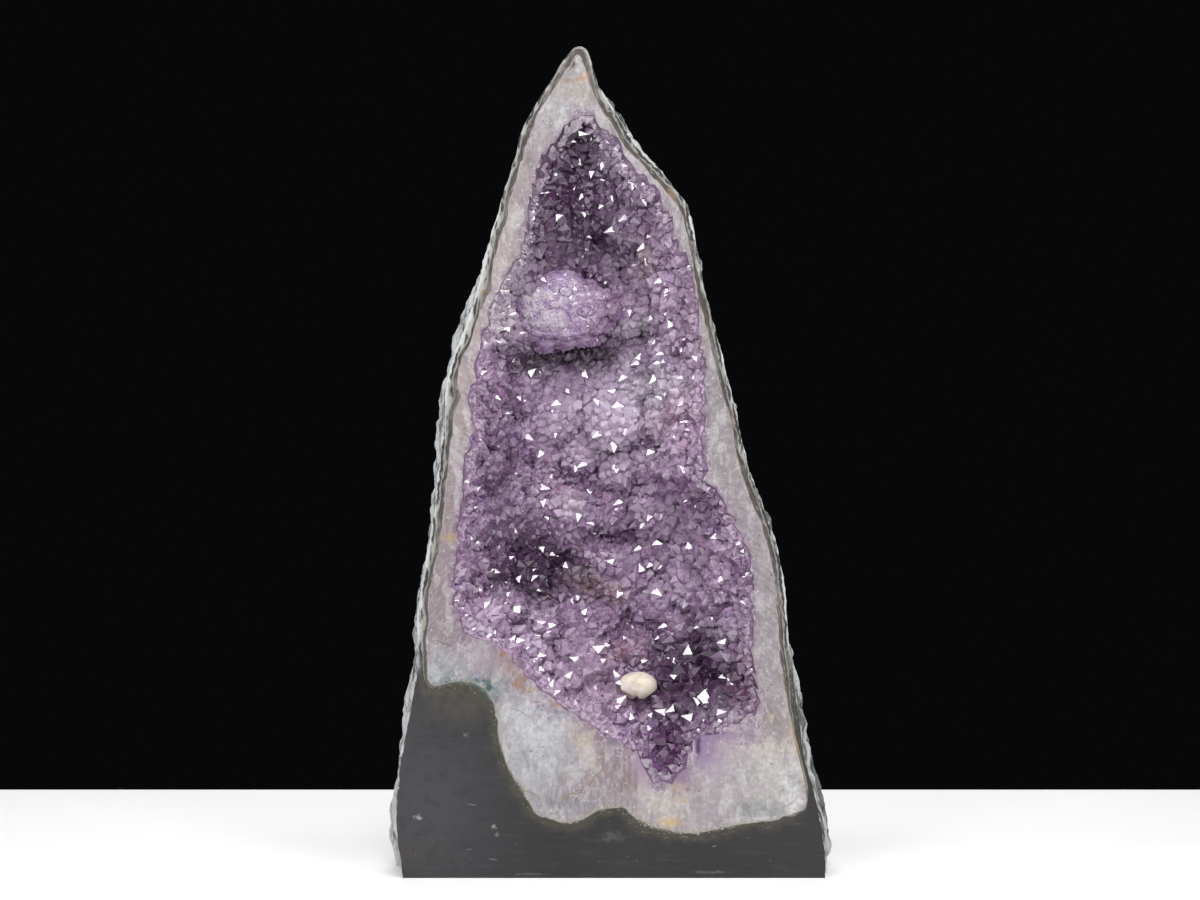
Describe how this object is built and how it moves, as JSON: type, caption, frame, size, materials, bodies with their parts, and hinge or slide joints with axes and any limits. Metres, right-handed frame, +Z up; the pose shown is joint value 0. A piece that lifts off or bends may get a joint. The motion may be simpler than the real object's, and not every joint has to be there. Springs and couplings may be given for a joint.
{
  "type": "amethyst geode",
  "caption": "Tall standing amethyst geode, sawn flat down the front to show its crystal-lined hollow and sawn flat across the foot to stand.",
  "frame": {"origin": "middle of the object's bounding box, on the floor that the sawn foot stands on", "axes": "+Z up along the stone's length; the sawn front, with the open hollow, faces -Y; +X to the right as the front is looked at"},
  "size_m": [0.232, 0.1476, 0.42],
  "materials": {
    "basalt": "rough weathered rind outside, fine sawn and waxed on the front of the foot",
    "agate": "polished where sawn",
    "milky_quartz": "polished where sawn, slightly see-through",
    "amethyst": "bright natural crystal faces",
    "calcite": "dull natural crystal"
  },
  "bodies": {
    "root": {"basalt_matrix": "basalt", "agate_band": "agate", "milky_quartz": "milky_quartz", "amethyst_druse": "amethyst", "calcite_crystal": "calcite"}
  },
  "joints": []
}
